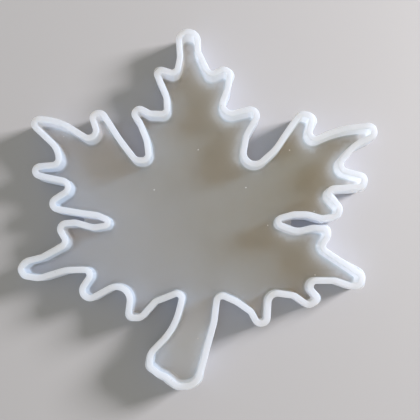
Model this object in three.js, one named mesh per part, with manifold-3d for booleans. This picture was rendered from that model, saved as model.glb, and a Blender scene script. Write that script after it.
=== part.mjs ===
// Maple leaf casting mould: a one-piece open tray of silicone rubber. An upright wall of even
// thickness follows a maple leaf with five toothed lobes and a stem, on a flat base sheet.
// Millimetres, +Z up. The top lobe points along +Y and the stem along -Y. The origin is at the
// middle of the outline's box, on the surface that the mould lies on.
import * as THREE from 'three';
import { mergeVertices } from 'three/addons/utils/BufferGeometryUtils.js';
import Module from 'manifold-3d';

const wasm = await Module();
wasm.setup();

const height = 15;
const baseThickness = 3;
const wallThickness = 3.5;
const outerChamfer = 0.6;      // on the outer edges of the rim and of the base
const rimChamfer = 0.6;        // on the inner edge of the rim
const footChamfer = 0.6;       // where the wall meets the floor of the cavity
const sharpestNotch = 0.5;     // radius on the outside of the narrowest notches
const chordSlack = 0.1;        // furthest that a straight facet lies from its arc
const shortestFacet = 0.1;
const cutMargin = 2;           // how far a cutter stands above the rim
const flareOverlap = 0.15;     // how far the rim's flare cutter reaches into the cavity

// The base sheet runs across the inner ends of the two side sinuses as a thin web.
const webThickness = 1.2;
const webs = [
  { from: [-69.5, -15], to: [-49, -5] },
  { from: [43, -15], to: [54.5, -6] },
];

// Corners of the leaf's cavity, clockwise from the tip of the top lobe: x, y and the radius
// that rounds the corner. Each lobe starts and ends in the notches beside it.
const leafCorners = [
  // top lobe, right side
  [-10.7, 98.9, 3.2], [-3.2, 98.6, 3.6], [-3.2, 88.6, 6], [4.8, 71.8, 5.5], [16, 77.3, 1.8],
  [14, 66, 3], [6, 46.6, 7.5], [32.6, 53.2, 1.8], [24.9, 39.5, 12], [18.8, 6.3, 8.3],
  // upper right lobe
  [44.5, 29.5, 25], [58.4, 49.9, 2.2], [62.7, 48.8, 1], [58.1, 31.2, 5.5], [81.2, 41, 60],
  [97.3, 42.6, 1.2], [97.8, 39.7, 1.5], [87, 34.4, 20], [73, 18.7, 6], [91.5, 13.7, 1],
  [90.4, 10.8, 1], [66, 9.2, 4.6], [79.2, -5.6, 2.4],
  // right side sinus
  [68.6, -6.9, 6], [61, -4.8, 15], [52.5, -4.8, 10], [33.7, -9.8, 4], [54.5, -18.1, 12], [64, -15.7, 8],
  // lower right lobe
  [70.6, -16.3, 1.2], [69.6, -18.8, 2.5], [64.8, -25.4, 5.3], [88.2, -41.4, 1.5], [87.1, -44.5, 1],
  [84.3, -44.6, 6], [75.5, -41.6, 8], [53.5, -41.5, 5.3], [63.4, -53.2, 1], [60.2, -54.8, 1.2],
  [53, -49.8, 6], [36.9, -47.6, 7], [35.6, -65, 1.6], [32.9, -64.8, 1.4], [30, -59.2, 5],
  // stem
  [21.5, -53.3, 20], [8.8, -47.8, 5], [6.5, -65.5, 25], [-2.6, -98, 6.5], [-10.6, -99, 5],
  [-17.2, -93.9, 4], [-21.3, -92.3, 4], [-25.3, -89, 1.5], [-24.9, -83.6, 5], [-11.6, -70.1, 40],
  [-6.2, -45.9, 4.7],
  // lower left lobe
  [-25.3, -53.3, 5], [-32.9, -62, 2.5], [-37.3, -61.9, 1.2], [-35, -37.3, 9.5], [-60.9, -51.9, 2.6],
  [-63.7, -48.9, 2.6], [-55.2, -35.8, 4.8], [-74.5, -35.8, 20], [-89, -40.3, 8], [-96.4, -39.2, 1.8],
  [-97.8, -36.8, 1], [-95.3, -34.2, 3], [-87.3, -32.1, 4], [-71.4, -23.4, 5.3], [-77.3, -13.5, 1.4],
  // left side sinus
  [-70, -12.9, 5], [-59.5, -15.7, 10], [-40.4, -12.6, 3.8], [-57, -5.3, 8],
  // upper left lobe
  [-83.9, -1.2, 1.5], [-64.1, 11.5, 5.6], [-96.6, 18.7, 0.9], [-77.8, 20.4, 5.5],
  [-79.4, 32, 16], [-94.9, 47, 1], [-81.9, 45.9, 34], [-52.6, 28, 6], [-60.1, 49.9, 1],
  [-57, 50.4, 1.6], [-48.5, 37.2, 60], [-37.4, 22.7, 7],
  // top lobe, left side
  [-26.9, 22.7, 5.2], [-28.3, 36.2, 20], [-33, 47.4, 6], [-38.9, 55.2, 1.2],
  [-29.3, 50, 6], [-16.9, 49.6, 5], [-17.4, 62.5, 12], [-23.7, 76.4, 1], [-12.4, 72.6, 5.2],
  [-9.9, 85, 15],
];

// Where the clockwise outline comes into a corner, and how far it turns there: left at a
// notch, which counts as positive, and right at a tooth.
function turnAt(corners, index) {
  const count = corners.length;
  const [x, y] = corners[index];
  const [backX, backY] = corners[(index + count - 1) % count];
  const [nextX, nextY] = corners[(index + 1) % count];
  const heading = Math.atan2(y - backY, x - backX);
  const leaving = Math.atan2(nextY - y, nextX - x);
  const turn = Math.atan2(Math.sin(leaving - heading), Math.cos(leaving - heading));
  return { heading, turn };
}

// Moves every edge outwards by one distance. A tooth's radius grows and a notch's shrinks.
function offsetCorners(corners, distance) {
  return corners.map(([x, y, radius], index) => {
    const { heading, turn } = turnAt(corners, index);
    const outwards = heading + turn / 2 + Math.PI / 2;
    const reach = distance / Math.cos(turn / 2);
    const rounded = turn < 0 ? radius + distance : Math.max(radius - distance, sharpestNotch);
    return [x + reach * Math.cos(outwards), y + reach * Math.sin(outwards), rounded];
  });
}

// Points of the arc that rounds one corner, with facets as long as the chord slack lets them be.
function cornerArc(corners, index) {
  const [x, y, radius] = corners[index];
  const { heading, turn } = turnAt(corners, index);
  const side = Math.sign(turn);
  const run = radius * Math.tan(Math.abs(turn) / 2);
  const centreX = x - run * Math.cos(heading) - side * radius * Math.sin(heading);
  const centreY = y - run * Math.sin(heading) + side * radius * Math.cos(heading);
  const facets = Math.ceil(Math.abs(turn) / (2 * Math.acos(1 - chordSlack / radius)));
  const arc = [];
  for (let step = 0; step <= facets; step += 1) {
    const angle = heading - side * Math.PI / 2 + (turn * step) / facets;
    arc.push(new THREE.Vector2(centreX + radius * Math.cos(angle), centreY + radius * Math.sin(angle)));
  }
  return arc;
}

// The leaf's outline, moved outwards by a distance, as a shape to extrude. Where one arc runs
// straight on into the next, their shared end is kept once.
function leafShape(distance) {
  const corners = offsetCorners(leafCorners, distance);
  const points = corners.flatMap((corner, index) => cornerArc(corners, index));
  const spaced = points.filter((point, index) => point.distanceTo(points.at(index - 1)) > shortestFacet);
  return new THREE.Shape(spaced);
}

// A prism from z = low to z = high whose upper and lower edges are chamfered by one amount.
function prism(shape, low, high, chamfer) {
  const geometry = new THREE.ExtrudeGeometry(shape, {
    depth: high - low - 2 * chamfer,
    bevelThickness: chamfer,
    bevelSize: chamfer,
    bevelOffset: -chamfer,
    bevelSegments: 1,
  });
  return geometry.translate(0, 0, low + chamfer);
}

function toSolid(geometry) {
  geometry.deleteAttribute('normal');
  geometry.deleteAttribute('uv');
  const merged = mergeVertices(geometry, 1e-4);
  const vertProperties = new Float32Array(merged.attributes.position.array);
  const triVerts = new Uint32Array(merged.index.array);
  return new wasm.Manifold(new wasm.Mesh({ numProp: 3, vertProperties, triVerts }));
}

function toGeometry(solid) {
  const { vertProperties, triVerts } = solid.getMesh();
  const geometry = new THREE.BufferGeometry();
  geometry.setAttribute('position', new THREE.BufferAttribute(vertProperties, 3));
  geometry.setIndex(new THREE.BufferAttribute(triVerts, 1));
  geometry.computeVertexNormals();
  return geometry;
}

// One web: a low box whose sides lie inside the base sheet, apart from its edge in the sinus.
function webPlate({ from, to }) {
  const plate = new THREE.BoxGeometry(to[0] - from[0], to[1] - from[1], webThickness);
  return plate.translate((from[0] + to[0]) / 2, (from[1] + to[1]) / 2, webThickness / 2);
}

// The tray: the outer prism, less the cavity, less the flare that chamfers the rim's inner edge.
function mouldSolid() {
  const flareDepth = rimChamfer + flareOverlap;
  const body = toSolid(prism(leafShape(wallThickness), 0, height, outerChamfer));
  const cavity = toSolid(prism(leafShape(0), baseThickness, height + cutMargin, footChamfer));
  const flare = toSolid(prism(leafShape(rimChamfer), height - flareDepth, height + cutMargin, flareDepth));
  const tray = body.subtract(cavity).subtract(flare);
  return webs.reduce((solid, web) => solid.add(toSolid(webPlate(web))), tray);
}

const silicone = new THREE.MeshStandardMaterial({
  name: 'silicone',
  color: 0xdfe1df,
  roughness: 0.35,
  metalness: 0,
});

const mould = new THREE.Mesh(toGeometry(mouldSolid()), silicone);
mould.name = 'mould';

// The outline's box is centred on the origin.
const middle = new THREE.Box3().setFromObject(mould).getCenter(new THREE.Vector3());
mould.position.set(-middle.x, -middle.y, 0);

const part = new THREE.Group();
part.add(mould);

export default part;
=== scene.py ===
import math

import bpy
import numpy as np
from mathutils import Matrix, Vector
from mathutils.geometry import delaunay_2d_cdt


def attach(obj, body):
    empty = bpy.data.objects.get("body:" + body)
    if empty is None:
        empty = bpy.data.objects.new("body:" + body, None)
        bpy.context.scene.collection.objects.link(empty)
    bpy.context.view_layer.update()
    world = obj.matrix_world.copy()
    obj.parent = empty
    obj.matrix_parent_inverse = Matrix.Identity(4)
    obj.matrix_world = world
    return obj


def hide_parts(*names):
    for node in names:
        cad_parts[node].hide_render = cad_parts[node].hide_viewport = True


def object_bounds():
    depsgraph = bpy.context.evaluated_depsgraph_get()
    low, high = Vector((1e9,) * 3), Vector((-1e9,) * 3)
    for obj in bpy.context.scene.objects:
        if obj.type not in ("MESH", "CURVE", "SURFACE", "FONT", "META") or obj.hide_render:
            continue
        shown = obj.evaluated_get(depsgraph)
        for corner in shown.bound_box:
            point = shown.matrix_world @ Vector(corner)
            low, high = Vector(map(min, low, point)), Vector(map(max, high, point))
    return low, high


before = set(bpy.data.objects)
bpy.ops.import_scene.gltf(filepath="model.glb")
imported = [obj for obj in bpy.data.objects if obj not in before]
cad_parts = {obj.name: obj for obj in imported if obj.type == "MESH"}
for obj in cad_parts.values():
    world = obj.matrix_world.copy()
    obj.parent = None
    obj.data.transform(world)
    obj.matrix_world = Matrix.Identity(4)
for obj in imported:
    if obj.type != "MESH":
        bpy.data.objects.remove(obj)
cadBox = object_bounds()
print("frame loaded, box", [round(side * 1000, 1) for side in cadBox[1] - cadBox[0]])

mm = 0.001

# The leaf's outline inside the wall: the corners of a polygon in mm, clockwise from the
# tip of the top lobe, each with the radius that rounds it
leafCorners = np.array([
    # top lobe, right side
    [-10.7, 98.9, 3.2], [-3.2, 98.6, 3.6], [-3.2, 88.6, 6], [4.8, 71.8, 5.5], [16, 77.3, 1.8],
    [14, 66, 3], [6, 46.6, 7.5], [32.6, 53.2, 1.8], [24.9, 39.5, 12], [18.8, 6.3, 8.3],
    # upper right lobe
    [44.5, 29.5, 25], [58.4, 49.9, 2.2], [62.7, 48.8, 1], [58.1, 31.2, 5.5], [81.2, 41, 60],
    [97.3, 42.6, 1.2], [97.8, 39.7, 1.5], [87, 34.4, 20], [73, 18.7, 6], [91.5, 13.7, 1],
    [90.4, 10.8, 1], [66, 9.2, 4.6], [79.2, -5.6, 2.4],
    # right side sinus
    [68.6, -6.9, 6], [61, -4.8, 15], [52.5, -4.8, 10], [33.7, -9.8, 4], [54.5, -18.1, 12],
    [64, -15.7, 8],
    # lower right lobe
    [70.6, -16.3, 1.2], [69.6, -18.8, 2.5], [64.8, -25.4, 5.3], [88.2, -41.4, 1.5], [87.1, -44.5, 1],
    [84.3, -44.6, 6], [75.5, -41.6, 8], [53.5, -41.5, 5.3], [63.4, -53.2, 1], [60.2, -54.8, 1.2],
    [53, -49.8, 6], [36.9, -47.6, 7], [35.6, -65, 1.6], [32.9, -64.8, 1.4], [30, -59.2, 5],
    # stem
    [21.5, -53.3, 20], [8.8, -47.8, 5], [6.5, -65.5, 25], [-2.6, -98, 6.5], [-10.6, -99, 5],
    [-17.2, -93.9, 4], [-21.3, -92.3, 4], [-25.3, -89, 1.5], [-24.9, -83.6, 5], [-11.6, -70.1, 40],
    [-6.2, -45.9, 4.7],
    # lower left lobe
    [-25.3, -53.3, 5], [-32.9, -62, 2.5], [-37.3, -61.9, 1.2], [-35, -37.3, 9.5], [-60.9, -51.9, 2.6],
    [-63.7, -48.9, 2.6], [-55.2, -35.8, 4.8], [-74.5, -35.8, 20], [-89, -40.3, 8], [-96.4, -39.2, 1.8],
    [-97.8, -36.8, 1], [-95.3, -34.2, 3], [-87.3, -32.1, 4], [-71.4, -23.4, 5.3], [-77.3, -13.5, 1.4],
    # left side sinus
    [-70, -12.9, 5], [-59.5, -15.7, 10], [-40.4, -12.6, 3.8], [-57, -5.3, 8],
    # upper left lobe
    [-83.9, -1.2, 1.5], [-64.1, 11.5, 5.6], [-96.6, 18.7, 0.9], [-77.8, 20.4, 5.5],
    [-79.4, 32, 16], [-94.9, 47, 1], [-81.9, 45.9, 34], [-52.6, 28, 6], [-60.1, 49.9, 1],
    [-57, 50.4, 1.6], [-48.5, 37.2, 60], [-37.4, 22.7, 7],
    # top lobe, left side
    [-26.9, 22.7, 5.2], [-28.3, 36.2, 20], [-33, 47.4, 6], [-38.9, 55.2, 1.2],
    [-29.3, 50, 6], [-16.9, 49.6, 5], [-17.4, 62.5, 12], [-23.7, 76.4, 1], [-12.4, 72.6, 5.2],
    [-9.9, 85, 15],
])

mouldShape = {
    "height": 15.0,
    "base": 3.0,             # thickness of the floor
    "wall": 3.5,             # thickness of the wall at the rim
    "bottomRound": 0.5,
    "outerRound": 0.55,      # outer edge of the rim
    "innerRound": 0.35,      # inner edge of the rim
    "crown": 0.03,           # how far the middle of the rim stands over its edges
    "draft": 0.1,            # how far the inner wall leans in towards its foot
    "footFillet": 1.4,
    "outerRows": (1.8, 3.5, 6.0, 8.5, 11.0, 12.4, 12.9),     # heights up the outside
    "innerRows": (13.2, 11.5, 9.5, 7.5, 6.0),                # heights down the inside
    "step": 0.80,            # along the outline
    "leastOnArc": 6,         # columns on the smallest arc
    "sharpest": 0.15,        # least radius of a notch once it is moved
    "gridStep": 3.0,         # of the points inside the floor
    "wander": 0.11,          # slow waviness of the hand-pulled wall
    "wanderWaves": ((23, 0.7, 0.6), (51, 2.1, 0.4)),         # waves around, phase and share
    "floorWaves": 0.10,      # height of the waves in the floor
    "floorWaveSize": (9.0, 11.0),
    "floorWavePhase": (0.4, 1.1),
    "floorWaveFade": 8.0,    # the waves die away this near the wall

    # thin lips of rubber that seeped past the edge of the master: place, spread and length
    "flashPlaces": [
        (-26.4, 79.1, 3.6, 1.25), (19.5, 73.5, 4.2, 0.95), (66.0, 46.5, 3.6, 1.10),
        (90.5, 8.6, 3.6, 0.90), (75.0, 3.5, 3.6, 0.60), (71.5, -13.5, 2.6, 0.80),
        (68.2, -10.5, 1.2, 1.20), (88.0, -37.5, 6.0, 0.95), (91.0, -47.0, 2.6, 0.90),
        (66.5, -53.0, 2.6, 0.60), (-28.2, -89.3, 5.0, 0.75), (-18.3, -98.8, 5.0, 0.85),
        (-10.1, -102.0, 5.0, 0.45), (0.5, -98.0, 4.5, 0.70), (-77.7, -25.1, 2.5, 0.60),
        (-39.5, -64.1, 3.0, 0.50), (-92.0, 44.5, 3.0, 0.45), (-97.5, -33.5, 3.0, 0.45),
    ],
    "flashLeast": 0.05,
    # the lip's section, up its underside and back over its top: height, share of the length
    "lipRows": ((13.15, 0.55), (13.45, 0.90), (13.90, 1.00), (13.95, 0.86), (13.60, 0.70),
                (13.42, 0.35), (13.50, 0.00)),
    "filmShares": (0.3, 0.75),       # the part of its top that looks thin
    "filmAbove": 13.4,
    "filmFull": 0.6,         # length at which the film looks thinnest
    "filmClear": 0.85,       # how much less milky it is there

    "milkDepth": 3.2,        # height over which the wall's foot turns from floor to wall
    "underMilk": 0.35,
    "outerGlow": 0.45,       # painted shade: less white low on the outside
    "outerGlowRise": (9.0, 14.6),    # heights between which it rises to that of the rim
    "innerGlow": 1.5,        # painted light on the inner wall, per unit of that at its foot
    "rimDepth": 2.2,         # how far below the rim the rim's painted light gives way to painted shade
    "glowReach": 2.4,        # how far the wall's painted light brightens the floor beside it
    "glowEven": 0.05,        # share of that which doesn't depend on the wall's direction
    "glowMost": 2.0,
    "paintedLightSide": 22.0,       # the window's side, whose walls pass on most painted light, in degrees from +X
    "clearOfWall": 1.5,      # in wall thicknesses: where the look for other walls starts
    "shadowReach": 26.0,     # a wall that has another this near on that side
    "blockedShare": 0.1,     # passes on only this share

    "paintedGlow": 0.17,            # painted glow: an emission for light that comes out of the inner wall on the window's side
    "paintedGlowLeast": 0.35,       # share from a wall that runs along the light
    "paintedGlowTowards": (0.85, 0.50),
    "paintedGlowFrom": (20.0, 80.0),        # it grows between these distances on that side
    "paintedLitEnds": [(96.5, 41.0, 4.6), (89.8, 12.0, 4.8)],    # painted light in the narrow ends: place and spread
    "paintedEndGlow": 0.12,
}

lengthsAtOnce = 400          # rows of a table of distances that is worked out in one go


def outlineFrame(corners):
    # heading of the edge before each corner, and how far the outline turns there
    points = corners[:, :2]
    before = points - np.roll(points, 1, axis=0)
    after = np.roll(points, -1, axis=0) - points
    heading = np.arctan2(before[:, 1], before[:, 0])
    turn = np.arctan2(after[:, 1], after[:, 0]) - heading
    turn = (turn + np.pi) % (2 * np.pi) - np.pi
    return points, heading, turn


def leafCurve(offset, samples, shape):
    # Every edge moves outwards by offset: a corner moves offset / cos(turn / 2) along its
    # bisector, a tooth's radius grows by offset and a notch's shrinks by it. samples holds a
    # corner number and a place from 0 to 1 on that corner's arc, or from 1 to 2 on the edge
    # that follows, so one sample stays on one column of the wall whatever the offset.
    points, heading, turn = outlineFrame(leafCorners)
    outwards = heading + turn / 2 + np.pi / 2
    reach = offset / np.cos(turn / 2)
    moved = points + reach[:, None] * np.stack([np.cos(outwards), np.sin(outwards)], axis=1)
    side = np.sign(turn)
    radius = np.maximum(leafCorners[:, 2] - side * offset, shape["sharpest"])
    run = radius * np.tan(np.abs(turn) / 2)
    along = np.stack([np.cos(heading), np.sin(heading)], axis=1)
    across = np.stack([-np.sin(heading), np.cos(heading)], axis=1)
    centre = moved - run[:, None] * along + (radius * side)[:, None] * across

    def onArc(corner, place):
        angle = heading[corner] - side[corner] * np.pi / 2 + turn[corner] * place
        spoke = np.stack([np.cos(angle), np.sin(angle)], axis=1)
        return centre[corner] + radius[corner][:, None] * spoke

    corner = samples[:, 0].astype(int)
    following = (corner + 1) % len(leafCorners)
    arcPoint = onArc(corner, np.minimum(samples[:, 1], 1.0))
    edgeShare = np.maximum(samples[:, 1] - 1.0, 0.0)[:, None]
    nextStart = onArc(following, np.zeros(len(samples)))
    return arcPoint * (1 - edgeShare) + nextStart * edgeShare


def outlineSamples(shape):
    # a column about every step of length, and at least a few on each arc
    points, heading, turn = outlineFrame(leafCorners)
    radius = leafCorners[:, 2] + np.where(turn < 0, shape["wall"], 0.0)
    run = leafCorners[:, 2] * np.tan(np.abs(turn) / 2)
    length = np.linalg.norm(np.roll(points, -1, axis=0) - points, axis=1)
    straight = np.maximum(length - run - np.roll(run, -1), 0.0)
    arcCount = np.ceil(radius * np.abs(turn) / shape["step"])
    arcCount = np.maximum(arcCount, shape["leastOnArc"]).astype(int)
    edgeCount = np.maximum(np.ceil(straight / shape["step"]), 1).astype(int)
    # stretches are arc, edge, arc, edge and so on
    count = np.stack([arcCount, edgeCount], axis=1).ravel()
    stretch = np.repeat(np.arange(len(count)), count)
    within = np.arange(len(stretch)) - (np.cumsum(count) - count)[stretch]
    return np.stack([stretch // 2, stretch % 2 + within / count[stretch]], axis=1)


def bend(centreOffset, centreZ, radius, fromDegrees, toDegrees, count):
    # rows on an arc: centre + radius * (cos, sin), with no share of the flash length
    angle = np.radians(np.linspace(fromDegrees, toDegrees, count))
    arc = [centreOffset + radius * np.cos(angle), centreZ + radius * np.sin(angle)]
    return np.stack([*arc, np.zeros(count)], axis=1)


def wallProfile(shape):
    # Rows of (outward offset, height, share of the flash length), from the underside up the
    # outside, over the lip and the rim and down the inside to the floor
    wall, low, draft = shape["wall"], shape["base"], shape["draft"]
    bottom, outer, inner = shape["bottomRound"], shape["outerRound"], shape["innerRound"]
    fillet = shape["footFillet"]
    shoulder = shape["height"] - shape["crown"]
    few, many = 5, 7
    crownShare = np.linspace(0, 1, many)[1:-1]
    crownOffset = wall - outer + crownShare * (inner - wall + outer)
    crownZ = shoulder + shape["crown"] * np.sin(np.pi * crownShare)
    z = np.array(shape["innerRows"])
    lean = -draft * (shoulder - inner - z) / (shoulder - inner - low - fillet)
    rows = [
        bend(wall - bottom, bottom, bottom, -90, 0, few),
        [[wall, height, 0.0] for height in shape["outerRows"]],
        [[wall, height, share] for height, share in shape["lipRows"]],
        bend(wall - outer, shoulder - outer, outer, 0, 90, many),
        np.stack([crownOffset, crownZ, np.zeros(len(crownZ))], axis=1),
        bend(inner, shoulder - inner, inner, 90, 180, few),
        np.stack([lean, z, np.zeros(len(z))], axis=1),
        bend(-draft - fillet, low + fillet, fillet, 0, -90, many),
    ]
    return np.concatenate([np.asarray(part, dtype=float) for part in rows])


def flashLength(rimCurve, shape):
    # a sum of bumps longest * exp(-(distance / spread) squared) on a least length
    length = np.full(len(rimCurve), shape["flashLeast"])
    for x, y, spread, longest in shape["flashPlaces"]:
        distance = np.hypot(rimCurve[:, 0] - x, rimCurve[:, 1] - y)
        length = length + longest * np.exp(-(distance / spread) ** 2)
    return length


def arcLength(curve):
    ahead = np.roll(curve, -1, axis=0) - curve
    return np.concatenate([[0.0], np.cumsum(np.linalg.norm(ahead, axis=1))])[:-1]


def wallGrid(shape):
    # A point is the offset outline at its row, moved out by the flash length times the row's
    # share, and by a slow wander that grows from the base to the rim
    samples = outlineSamples(shape)
    rows = wallProfile(shape)
    length = flashLength(leafCurve(shape["wall"], samples, shape), shape)
    travelled = arcLength(leafCurve(0.0, samples, shape))
    around = travelled / travelled[-1] * 2 * np.pi
    wander = sum(share * np.sin(waves * around + phase) for waves, phase, share in shape["wanderWaves"])
    grid = np.empty((len(rows), len(samples), 3))
    for row, (offset, z, flashShare) in enumerate(rows):
        outward = leafCurve(offset + 0.5, samples, shape) - leafCurve(offset - 0.5, samples, shape)
        outward = outward / np.maximum(np.linalg.norm(outward, axis=1), 1e-6)[:, None]
        push = flashShare * length + shape["wander"] * wander * z / shape["height"]
        grid[row, :, :2] = leafCurve(offset, samples, shape) + push[:, None] * outward
        grid[row, :, 2] = z
    return grid, rows


def insideLoop(points, loop):
    # crossing number: an edge counts when it spans the point's y and lies to its right
    x, y = points[:, 0][:, None], points[:, 1][:, None]
    x0, y0 = loop[:, 0][None, :], loop[:, 1][None, :]
    x1, y1 = np.roll(loop[:, 0], -1)[None, :], np.roll(loop[:, 1], -1)[None, :]
    spans = (y0 > y) != (y1 > y)
    rise = np.where(y1 == y0, 1.0, y1 - y0)
    crossing = x0 + (y - y0) / rise * (x1 - x0)
    return (np.sum(spans & (x < crossing), axis=1) % 2) == 1


def distanceToLoop(points, loop):
    # least distance from each point to the loop's points
    nearest = np.empty(len(points))
    for start in range(0, len(points), lengthsAtOnce):
        part = slice(start, start + lengthsAtOnce)
        gap = points[part, None, :] - loop[None, :, :]
        nearest[part] = np.sqrt(np.min(np.sum(gap * gap, axis=2), axis=1))
    return nearest


def litShare(middle, ahead, loop, shape):
    # 1 where a straight line from the wall towards the light meets no other wall within the
    # reach of its shadow, and the blocked share where it does
    towards = math.radians(shape["paintedLightSide"])
    along = np.array([math.cos(towards), math.sin(towards)])
    across = np.array([-along[1], along[0]])
    origin = middle + along * shape["clearOfWall"] * shape["wall"]
    share = np.ones(len(middle))
    for start in range(0, len(middle), lengthsAtOnce):
        part = slice(start, start + lengthsAtOnce)
        fromHere = loop[None, :, :] - origin[part, None, :]
        fromThere = ahead[None, :, :] - origin[part, None, :]
        here, there = fromHere @ across, fromThere @ across
        crosses = (here > 0) != (there > 0)
        ratio = here / np.where(here == there, 1.0, here - there)
        far = (fromHere @ along) * (1 - ratio) + (fromThere @ along) * ratio
        hit = crosses & (far > 0) & (far < shape["shadowReach"])
        share[part] = np.where(hit.any(axis=1), shape["blockedShare"], 1.0)
    return share


def wallGlow(points, loop, shape):
    # painted light, for light that the wall passes on to the floor: the sum over the wall's foot of
    # length / (distance squared + reach squared), more from the wall that faces the light and
    # stands in no other wall's shadow; beside one long straight wall the sum is pi / reach
    ahead = np.roll(loop, -1, axis=0)
    step = ahead - loop
    middle = (ahead + loop) / 2
    paintedLightSide = math.radians(shape["paintedLightSide"])
    facing = -step[:, 1] * math.cos(paintedLightSide) + step[:, 0] * math.sin(paintedLightSide)
    facing = np.maximum(facing, 0.0) * litShare(middle, ahead, loop, shape)
    even, reach = shape["glowEven"], shape["glowReach"]
    length = even * np.linalg.norm(step, axis=1) + (1 - even) * facing
    total = np.empty(len(points))
    for start in range(0, len(points), lengthsAtOnce):
        part = slice(start, start + lengthsAtOnce)
        gap = points[part, None, :] - middle[None, :, :]
        total[part] = np.sum(length / (np.sum(gap * gap, axis=2) + reach ** 2), axis=1)
    return np.clip(total * reach / np.pi, 0, shape["glowMost"])


def fillLoop(loop, gridStep):
    # Delaunay triangles inside the loop, through it and a staggered grid of inner points
    rowShare = 0.866         # of the grid step, so that the triangles have nearly equal sides
    edgeShare = 0.45         # no grid point is nearer the loop than this share of the step
    low, high = loop.min(axis=0), loop.max(axis=0)
    xs = np.arange(low[0], high[0], gridStep)
    ys = np.arange(low[1], high[1], gridStep * rowShare)
    gridX, gridY = np.meshgrid(xs, ys)
    gridX = gridX + (np.arange(len(ys)) % 2)[:, None] * gridStep / 2
    inner = np.stack([gridX.ravel(), gridY.ravel()], axis=1)
    inner = inner[insideLoop(inner, loop)]
    inner = inner[distanceToLoop(inner, loop) > gridStep * edgeShare]
    points = [Vector(point) for point in np.concatenate([loop, inner]).tolist()]
    order = list(range(len(loop)))
    paintedEndLight = delaunay_2d_cdt(points, [], [order], 1, 1e-7)
    if len(paintedEndLight[0]) != len(points):
        raise RuntimeError("the outline crosses itself")
    return inner, np.array(paintedEndLight[2])


def upwards(points, triangles):
    a, b, c = (points[triangles[:, i], :2] for i in range(3))
    area = (b[:, 0] - a[:, 0]) * (c[:, 1] - a[:, 1]) - (b[:, 1] - a[:, 1]) * (c[:, 0] - a[:, 0])
    return np.where(area[:, None] > 0, triangles, triangles[:, ::-1])


def makeObject(name, points, blocks, material, attributes):
    # points in mm; each block is an array of faces that have the same number of sides
    mesh = bpy.data.meshes.new(name)
    corners = np.concatenate([block.ravel() for block in blocks])
    sides = np.concatenate([np.full(len(block), block.shape[1]) for block in blocks])
    mesh.vertices.add(len(points))
    mesh.vertices.foreach_set("co", (points * mm).astype(np.float32).ravel())
    mesh.loops.add(len(corners))
    mesh.loops.foreach_set("vertex_index", corners.astype(np.int32))
    mesh.polygons.add(len(sides))
    mesh.polygons.foreach_set("loop_start", (np.cumsum(sides) - sides).astype(np.int32))
    mesh.update(calc_edges=True)
    mesh.validate()
    mesh.polygons.foreach_set("use_smooth", np.ones(len(mesh.polygons), dtype=bool))
    for key, values in attributes.items():
        layer = mesh.attributes.new(key, "FLOAT", "POINT")
        layer.data.foreach_set("value", np.asarray(values, dtype=np.float32))
    mesh.materials.append(material)
    obj = bpy.data.objects.new(name, mesh)
    bpy.context.scene.collection.objects.link(obj)
    return obj


def mouldSurface(shape):
    # The wall's grid, then the points inside the underside and those inside the floor. The
    # floor has low waves, sin * sin, that die away at the wall.
    grid, rows = wallGrid(shape)
    rowCount, columns = grid.shape[:2]
    index = np.arange(rowCount * columns).reshape(rowCount, columns)
    ahead = np.roll(index, -1, axis=1)
    quads = np.stack([index[:-1], index[1:], ahead[1:], ahead[:-1]], axis=2).reshape(-1, 4)

    floorLoop = grid[-1, :, :2]
    underInner, underTriangles = fillLoop(grid[0, :, :2], shape["gridStep"] * 2)
    floorInner, floorTriangles = fillLoop(floorLoop, shape["gridStep"])
    fade = np.clip(distanceToLoop(floorInner, floorLoop) / shape["floorWaveFade"], 0, 1) ** 2
    waves = np.sin(floorInner / shape["floorWaveSize"] + shape["floorWavePhase"]).prod(axis=1)
    points = np.concatenate([
        grid.reshape(-1, 3),
        np.c_[underInner, np.zeros(len(underInner))],
        np.c_[floorInner, shape["base"] + shape["floorWaves"] * fade * waves],
    ])
    underStart = rowCount * columns
    floorStart = underStart + len(underInner)
    underMap = np.concatenate([index[0], np.arange(underStart, floorStart)])
    floorMap = np.concatenate([index[-1], np.arange(floorStart, len(points))])
    underFaces = upwards(points, underMap[underTriangles])[:, ::-1]
    floorFaces = upwards(points, floorMap[floorTriangles])
    return grid, rows, points, floorStart, [quads, underFaces, floorFaces]


def smooth(share):
    share = np.clip(share, 0, 1)
    return share * share * (3 - 2 * share)


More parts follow.
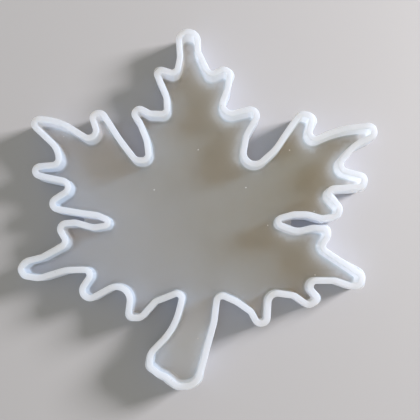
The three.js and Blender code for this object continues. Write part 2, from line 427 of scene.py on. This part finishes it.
def mouldLooks(grid, rows, points, floorStart, shape):
    inside = rows[:, 0] < shape["innerRound"] + 0.1
    underStart = grid.shape[0] * grid.shape[1]
    z = grid[:, :, 2]

    # milk is how solid the rubber looks: full in the wall, thin over the floor
    milk = np.ones(len(points))
    wallMilk = milk[:underStart].reshape(z.shape)
    wallMilk[inside] = smooth((z[inside] - shape["base"]) / shape["milkDepth"])
    milk[underStart:floorStart] = shape["underMilk"]
    milk[floorStart:] = 0.0

    # the film of a flash lip is thin, and its edge is not
    least, most = shape["filmShares"]
    film = (rows[:, 2] > least) & (rows[:, 2] < most) & (rows[:, 1] > shape["filmAbove"])
    filmShare = np.clip(flashLength(grid[0, :, :2], shape) / shape["filmFull"], 0, 1)
    wallMilk[film] = 1.0 - shape["filmClear"] * filmShare

    # how white it looks, as painted light and shade: full on the rim, painted shade down the outside,
    # and inside and on the floor as much painted light as the wall passes on
    floorLoop = grid[-1, :, :2]
    outerGlow = np.interp(z, shape["outerGlowRise"], [shape["outerGlow"], 1.0])
    footGlow = wallGlow(floorLoop, floorLoop, shape)
    depth = np.clip((shape["height"] - z) / shape["rimDepth"], 0, 1)
    innerGlow = (1 - depth) + depth * np.minimum(shape["innerGlow"] * footGlow, 1.0)
    paintedLight = np.concatenate([
        np.where(inside[:, None], innerGlow, outerGlow).ravel(),
        np.full(floorStart - underStart, shape["outerGlow"]),
        wallGlow(points[floorStart:, :2], floorLoop, shape),
    ])

    # painted glow, an emission for light through the wall: it grows towards the window, is strongest in
    # walls that stand across the light, and fades out near the rim
    towards = np.array(shape["paintedGlowTowards"])
    least, most = shape["paintedGlowFrom"]
    along = smooth((grid[:, :, :2] @ towards - least) / (most - least))
    outward = grid[0, :, :2] - floorLoop
    outward = outward / np.linalg.norm(outward, axis=1)[:, None]
    facing = np.clip(outward @ towards, 0, 1)
    strength = shape["paintedGlow"] * (shape["paintedGlowLeast"] + (1 - shape["paintedGlowLeast"]) * facing)
    innerDepth = inside[:, None] * depth
    paintedGlow = np.zeros(len(points))
    paintedGlow[:underStart] = (innerDepth * strength * along * wallMilk).ravel()

    # painted light: in the narrow ends of a few teeth the floor is painted as white as the wall, with
    # painted glow
    within = np.ones(len(points))
    within[:underStart] = innerDepth.ravel()
    within[underStart:floorStart] = 0.0
    paintedEndLight = np.zeros(len(points))
    for x, y, spread in shape["paintedLitEnds"]:
        distance = np.hypot(points[:, 0] - x, points[:, 1] - y)
        paintedEndLight = np.maximum(paintedEndLight, within * np.exp(-(distance / spread) ** 4))
    return {
        "milk": np.maximum(milk, paintedEndLight),
        "paintedLight": np.maximum(paintedLight, paintedEndLight),
        "paintedGlow": np.maximum(paintedGlow, shape["paintedEndGlow"] * paintedEndLight),
    }


def buildMould(shape, material):
    grid, rows, points, floorStart, faces = mouldSurface(shape)
    looks = mouldLooks(grid, rows, points, floorStart, shape)

    # the wall without its flash fills the CAD box exactly, and the flash stays inside it
    plain = grid[rows[:, 2] == 0][:, :, :2].reshape(-1, 2)
    low, high = plain.min(axis=0), plain.max(axis=0)
    cadLow, cadHigh = (np.array(corner[:2]) / mm for corner in cadBox)
    scale = (cadHigh - cadLow) / (high - low)
    points[:, :2] = np.clip(cadLow + (points[:, :2] - low) * scale, cadLow, cadHigh)
    print("mould: columns", grid.shape[1], "rows", grid.shape[0], "fit", np.round(scale, 5))
    return makeObject("leaf_mould", points, faces, material, looks)


silicone = {
    "wallColour": (0.960, 0.965, 0.960, 1),
    # painted shade on the wall below the rim, and painted light on it on the window's side
    "wallPaintedShade": (0.68, 0.72, 0.76, 1),
    "wallPaintedLight": (0.90, 0.92, 0.94, 1),
    "floorCool": (0.500, 0.494, 0.484, 1),
    # painted shade: the floor turns warmer and darker towards the window
    "floorPaintedShade": (0.380, 0.350, 0.276, 1),
    "warmTowards": (0.85, 0.50, 0.0),
    "warmFrom": (-0.05, 0.06),       # metres on that side
    "warmStops": (0.15, 0.85),
    "cloudScale": 22.0,      # clouds of about 45 mm
    "cloudShare": 0.3,       # of the floor's change from cool to warm
    # painted light: the stem's floor is paler
    "floorStemPaintedLight": (0.640, 0.660, 0.655, 1),
    "stemFrom": (-0.045, -0.080),    # metres in y
    # painted light beside the wall
    "floorGlow": (0.790, 0.850, 0.880, 1),
    "glowRange": (0.0, 1.10),
    # colour of the painted glow
    "paintedGlowColour": (0.90, 0.96, 1.0, 1),
    "roughness": (0.34, 0.46),
    "smearScale": 60.0,      # patches of more and less gloss, about 17 mm
    "grainScale": 700.0,
    "grainStrength": 0.12,
    "grainDepth": 0.0001,
    "ior": 1.41,
    "scatterRadius": (0.013, 0.013, 0.013),
    "scatterWeight": 1.0,
    "scatterForward": 0.5,
    "speckScale": 75.0,      # dust specks are in cells of about 13 mm
    "speckSize": 0.030,      # of a cell
    "speckRare": 0.88,       # share of the cells that have none
    "speckColour": (0.85, 0.85, 0.83, 1),
}


def newMaterial(name):
    material = bpy.data.materials.new(name)
    material.use_nodes = True
    return material, material.node_tree, material.node_tree.nodes["Principled BSDF"]


def feed(tree, socket, value):
    # value is another node's socket, which is linked, or a number or colour, which is set
    if isinstance(value, bpy.types.NodeSocket):
        tree.links.new(value, socket)
    else:
        socket.default_value = value


def attributeOf(tree, name):
    node = tree.nodes.new("ShaderNodeAttribute")
    node.attribute_name = name
    return node.outputs["Fac"]


def noiseOf(tree, place, scale, detail):
    node = tree.nodes.new("ShaderNodeTexNoise")
    node.inputs["Scale"].default_value = scale
    node.inputs["Detail"].default_value = detail
    tree.links.new(place, node.inputs["Vector"])
    return node.outputs["Fac"]


def rangeOf(tree, value, start, end, interpolation="LINEAR"):
    # 0 at start and 1 at end
    node = tree.nodes.new("ShaderNodeMapRange")
    node.interpolation_type = interpolation
    node.inputs["From Min"].default_value = start
    node.inputs["From Max"].default_value = end
    tree.links.new(value, node.inputs["Value"])
    return node.outputs["Result"]


def mixOf(tree, share, first, second, kind="RGBA"):
    # first * (1 - share) + second * share
    node = tree.nodes.new("ShaderNodeMix")
    node.data_type = kind
    feed(tree, node.inputs["Factor"], share)
    feed(tree, node.inputs["A"], first)
    feed(tree, node.inputs["B"], second)
    return node.outputs["Result"]


def mathOf(tree, operation, first, second):
    node = tree.nodes.new("ShaderNodeMath")
    node.operation = operation
    feed(tree, node.inputs[0], first)
    feed(tree, node.inputs[1], second)
    return node.outputs["Value"]


def floorColour(tree, place, towardsWindow, paintedLight, look):
    # painted shade: from cool to warm and darker towards the window, partly in random clouds
    clouds = noiseOf(tree, place, look["cloudScale"], 3.0)
    blend = mixOf(tree, look["cloudShare"], towardsWindow, clouds, "FLOAT")
    ramp = tree.nodes.new("ShaderNodeValToRGB")
    colours = (look["floorCool"], look["floorPaintedShade"])
    for stop, position, colour in zip(ramp.color_ramp.elements, look["warmStops"], colours):
        stop.position = position
        stop.color = colour
    tree.links.new(blend, ramp.inputs["Fac"])

    # painted light: paler in the stem
    split = tree.nodes.new("ShaderNodeSeparateXYZ")
    tree.links.new(place, split.inputs["Vector"])
    inStem = rangeOf(tree, split.outputs["Y"], *look["stemFrom"], "SMOOTHSTEP")
    ground = mixOf(tree, inStem, ramp.outputs["Color"], look["floorStemPaintedLight"])

    # painted light: lighter and cooler beside the wall, for light that the wall passes on
    glowShare = rangeOf(tree, paintedLight, *look["glowRange"], "SMOOTHSTEP")
    return mixOf(tree, glowShare, ground, look["floorGlow"])


def dustShare(tree, place, look):
    # a few specks: small cores of scattered cells
    cells = tree.nodes.new("ShaderNodeTexVoronoi")
    cells.voronoi_dimensions = "2D"
    cells.inputs["Scale"].default_value = look["speckScale"]
    tree.links.new(place, cells.inputs["Vector"])
    pick = tree.nodes.new("ShaderNodeSeparateColor")
    tree.links.new(cells.outputs["Color"], pick.inputs["Color"])
    core = mathOf(tree, "LESS_THAN", cells.outputs["Distance"], look["speckSize"])
    rare = mathOf(tree, "GREATER_THAN", pick.outputs["Red"], look["speckRare"])
    return mathOf(tree, "MULTIPLY", core, rare)


def siliconeMaterial(look):
    material, tree, shader = newMaterial("milky_silicone")
    place = tree.nodes.new("ShaderNodeTexCoord").outputs["Object"]
    across = tree.nodes.new("ShaderNodeVectorMath")
    across.operation = "DOT_PRODUCT"
    across.inputs[1].default_value = look["warmTowards"]
    tree.links.new(place, across.inputs[0])
    towardsWindow = rangeOf(tree, across.outputs["Value"], *look["warmFrom"])
    paintedLight = attributeOf(tree, "paintedLight")

    # painted shade low on the wall, lightened by painted light on the window's side
    shade = mixOf(tree, towardsWindow, look["wallPaintedShade"], look["wallPaintedLight"])
    wall = mixOf(tree, paintedLight, shade, look["wallColour"])
    floor = floorColour(tree, place, towardsWindow, paintedLight, look)
    body = mixOf(tree, attributeOf(tree, "milk"), floor, wall)
    dusted = mixOf(tree, dustShare(tree, place, look), body, look["speckColour"])
    tree.links.new(dusted, shader.inputs["Base Color"])

    # gloss varies slowly, as rubber that has been handled does
    gloss = tree.nodes.new("ShaderNodeMapRange")
    gloss.inputs["To Min"].default_value = look["roughness"][0]
    gloss.inputs["To Max"].default_value = look["roughness"][1]
    tree.links.new(noiseOf(tree, place, look["smearScale"], 4.0), gloss.inputs["Value"])
    tree.links.new(gloss.outputs["Result"], shader.inputs["Roughness"])

    bump = tree.nodes.new("ShaderNodeBump")
    bump.inputs["Strength"].default_value = look["grainStrength"]
    bump.inputs["Distance"].default_value = look["grainDepth"]
    tree.links.new(noiseOf(tree, place, look["grainScale"], 2.0), bump.inputs["Height"])
    tree.links.new(bump.outputs["Normal"], shader.inputs["Normal"])

    # painted glow: emission out of the inner side of the wall stands in for light that the wall lets
    # through
    tree.links.new(attributeOf(tree, "paintedGlow"), shader.inputs["Emission Strength"])
    shader.inputs["Emission Color"].default_value = look["paintedGlowColour"]

    shader.inputs["IOR"].default_value = look["ior"]
    shader.inputs["Subsurface Weight"].default_value = look["scatterWeight"]
    shader.inputs["Subsurface Radius"].default_value = look["scatterRadius"]
    shader.inputs["Subsurface Scale"].default_value = 1.0
    shader.inputs["Subsurface Anisotropy"].default_value = look["scatterForward"]
    return material


rubber = siliconeMaterial(silicone)
mould = buildMould(mouldShape, rubber)
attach(mould, "root")
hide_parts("mould")
print("mould made,", len(mould.data.polygons), "faces")


webShape = {
    "thick": 1.2,
    "thin": 0.55,            # in the middle, between the two walls
    "underside": 0.05,       # its height over the table
    "hollow": 1.6,           # how far the free edge curves in
    "ragged": 0.22,          # how uneven that edge is
    "raggedWaves": 4.5,
    "raggedPhase": 0.8,
    "edgeDrop": 0.25,        # how much thinner the free edge is
    "edgeWidth": 0.03,       # share of the web's length that is so
    "across": 17,            # points from wall to wall
    "lengthwise": 25,
    "milk": 0.3,
    # painted light and painted glow, for light that the thin web lets through
    "paintedLight": 0.4,
    "paintedGlow": 0.10,
    "from": [(-69.5, -15.0), (54.5, -15.0)],
    "to": [(-49.0, -5.0), (43.0, -6.0)],
}


def buildWeb(name, start, end, shape, material):
    # u runs across the sinus and v along it from the free edge; the sheet is thinnest in the
    # middle and its free edge is a shallow curve. The upper face, the lower face and the edge
    # round them are one closed strip of rows.
    u = np.linspace(0, 1, shape["across"])
    v = np.linspace(0, 1, shape["lengthwise"])
    gridV, gridU = np.meshgrid(v, u, indexing="ij")
    side = np.sign(end[0] - start[0])
    hollow = shape["hollow"] * np.sin(np.pi * gridU) * (1 - gridV) ** 2
    waves = np.sin(shape["raggedWaves"] * 2 * np.pi * gridU + shape["raggedPhase"])
    ragged = shape["ragged"] * waves * (1 - gridV) ** 3
    x = start[0] + (end[0] - start[0]) * gridV + side * (hollow + ragged)
    y = start[1] + (end[1] - start[1]) * gridU
    middle = np.sin(np.pi * gridU) ** 2
    top = shape["thick"] - (shape["thick"] - shape["thin"]) * middle
    top = top - shape["edgeDrop"] * np.exp(-(gridV / shape["edgeWidth"]) ** 2)
    upper = np.stack([x, y, top], axis=2)
    lower = np.stack([x, y, np.full_like(x, shape["underside"])], axis=2)
    points = np.concatenate([upper.reshape(-1, 3), lower.reshape(-1, 3)])

    index = np.arange(x.size).reshape(x.shape)
    quads = [index[:-1, :-1], index[1:, :-1], index[1:, 1:], index[:-1, 1:]]
    quads = np.stack(quads, axis=2).reshape(-1, 4)
    rim = np.concatenate([index[0, :-1], index[:-1, -1], index[-1, :0:-1], index[:0:-1, 0]])
    rimAhead = np.roll(rim, -1)
    edge = np.stack([rim, rimAhead, rimAhead + x.size, rim + x.size], axis=1)
    faces = [quads, quads[:, ::-1] + x.size, edge]
    if side < 0:
        faces = [block[:, ::-1] for block in faces]
    looks = {key: np.full(len(points), shape[key]) for key in ("milk", "paintedLight", "paintedGlow")}
    return makeObject(name, points, faces, material, looks)


rubberPieces = [mould]
for webName, start, end in zip(("web_left", "web_right"), webShape["from"], webShape["to"]):
    web = buildWeb(webName, start, end, webShape, rubber)
    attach(web, "root")
    rubberPieces.append(web)
print("webs made")


tableTop = {
    "half": 3000.0,
    "gap": 0.02,             # the table lies this far under the mould
    "colour": (0.475, 0.470, 0.510, 1),
    "roughness": 0.55,
}


def buildTable(shape):
    material, tree, shader = newMaterial("pale_table")
    shader.inputs["Base Color"].default_value = shape["colour"]
    shader.inputs["Roughness"].default_value = shape["roughness"]
    square = np.array([[-1, -1, 0], [1, -1, 0], [1, 1, 0], [-1, 1, 0]])
    points = square * shape["half"] - [0, 0, shape["gap"]]
    return makeObject("table", points, [np.array([[0, 1, 2, 3]])], material, {})


table = buildTable(tableTop)

studio = {
    "azimuth": 22.0,         # degrees from +X towards +Y
    "elevation": 21.0,
    "distance": 1.6,
    "size": 0.42,
    "power": 79.0,
    "direct": (0.128, 0.184, 0.269),
    "onTable": (0.472, 0.396, 0.291),           # on the table only, more of the same
    "throughColour": (0.070, 0.041, 0.024),     # through the thin rubber
    "throughElevation": 50.0,
    "outColour": (0.048, 0.064, 0.096),         # out of a wall on its far side
    "outAzimuth": 224.1,
    "outElevation": 17.6,
    "fillColour": (0.447, 0.445, 0.390, 1),
    "fillStrength": 1.04,
}


def addWindow(name, colour, azimuth, elevation, setup, receivers=None, unblocked=None):
    # A square soft light. receivers limits what it falls on, and what is in unblocked casts
    # no shadow in it.
    lamp = bpy.data.lights.new(name, "AREA")
    lamp.shape = "SQUARE"
    lamp.size = setup["size"]
    lamp.color = colour
    lamp.energy = setup["power"]
    azimuth, elevation = math.radians(azimuth), math.radians(elevation)
    towards = Vector((math.cos(azimuth) * math.cos(elevation),
                      math.sin(azimuth) * math.cos(elevation), math.sin(elevation)))
    obj = bpy.data.objects.new(name, lamp)
    obj.location = towards * setup["distance"]
    obj.rotation_euler = towards.to_track_quat("Z", "Y").to_euler()
    bpy.context.scene.collection.objects.link(obj)
    if receivers:
        lit = bpy.data.collections.new(name + "_receivers")
        for receiver in receivers:
            lit.objects.link(receiver)
        obj.light_linking.receiver_collection = lit
    if unblocked:
        clear = bpy.data.collections.new(name + "_unblocked")
        for blocker in unblocked:
            clear.objects.link(blocker)
        for item in clear.collection_objects:
            item.light_linking.link_state = "EXCLUDE"
        obj.light_linking.blocker_collection = clear


def addStudio(setup):
    world = bpy.data.worlds.new("studio")
    bpy.context.scene.world = world
    world.use_nodes = True
    background = world.node_tree.nodes["Background"]
    background.inputs["Color"].default_value = setup["fillColour"]
    background.inputs["Strength"].default_value = setup["fillStrength"]
    side, low = setup["azimuth"], setup["elevation"]
    addWindow("window", setup["direct"], side, low, setup)
    addWindow("window_on_table", setup["onTable"], side, low, setup, receivers=[table])
    addWindow("window_through_rubber", setup["throughColour"], side, setup["throughElevation"],
              setup, receivers=rubberPieces, unblocked=rubberPieces)
    addWindow("window_out_of_wall", setup["outColour"], setup["outAzimuth"], setup["outElevation"],
              setup, receivers=rubberPieces, unblocked=rubberPieces)


addStudio(studio)
print("studio lit")

view = {
    "place": (8.62, -39.91, 327.67),
    "target": (5.82, -4.09, 15.0),
    "lens": 48.17,
    "sensor": 36.0,
    "clipStart": 0.01,
}


def addCamera(setup):
    # the camera's right-hand side stays level with the table's X axis in the picture
    place, target = Vector(setup["place"]), Vector(setup["target"])
    forward = (target - place).normalized()
    up = Vector((0.0, -forward.z, forward.y)).normalized()
    right = forward.cross(up).normalized()
    up = right.cross(forward)
    turned = Matrix((right, up, -forward)).transposed().to_4x4()
    lens = bpy.data.cameras.new("camera")
    lens.lens = setup["lens"]
    lens.sensor_width = setup["sensor"]
    lens.clip_start = setup["clipStart"]
    obj = bpy.data.objects.new("camera", lens)
    obj.matrix_world = Matrix.Translation(place * mm) @ turned
    bpy.context.scene.collection.objects.link(obj)
    bpy.context.scene.camera = obj


addCamera(view)
bpy.context.scene.view_settings.view_transform = "Standard"
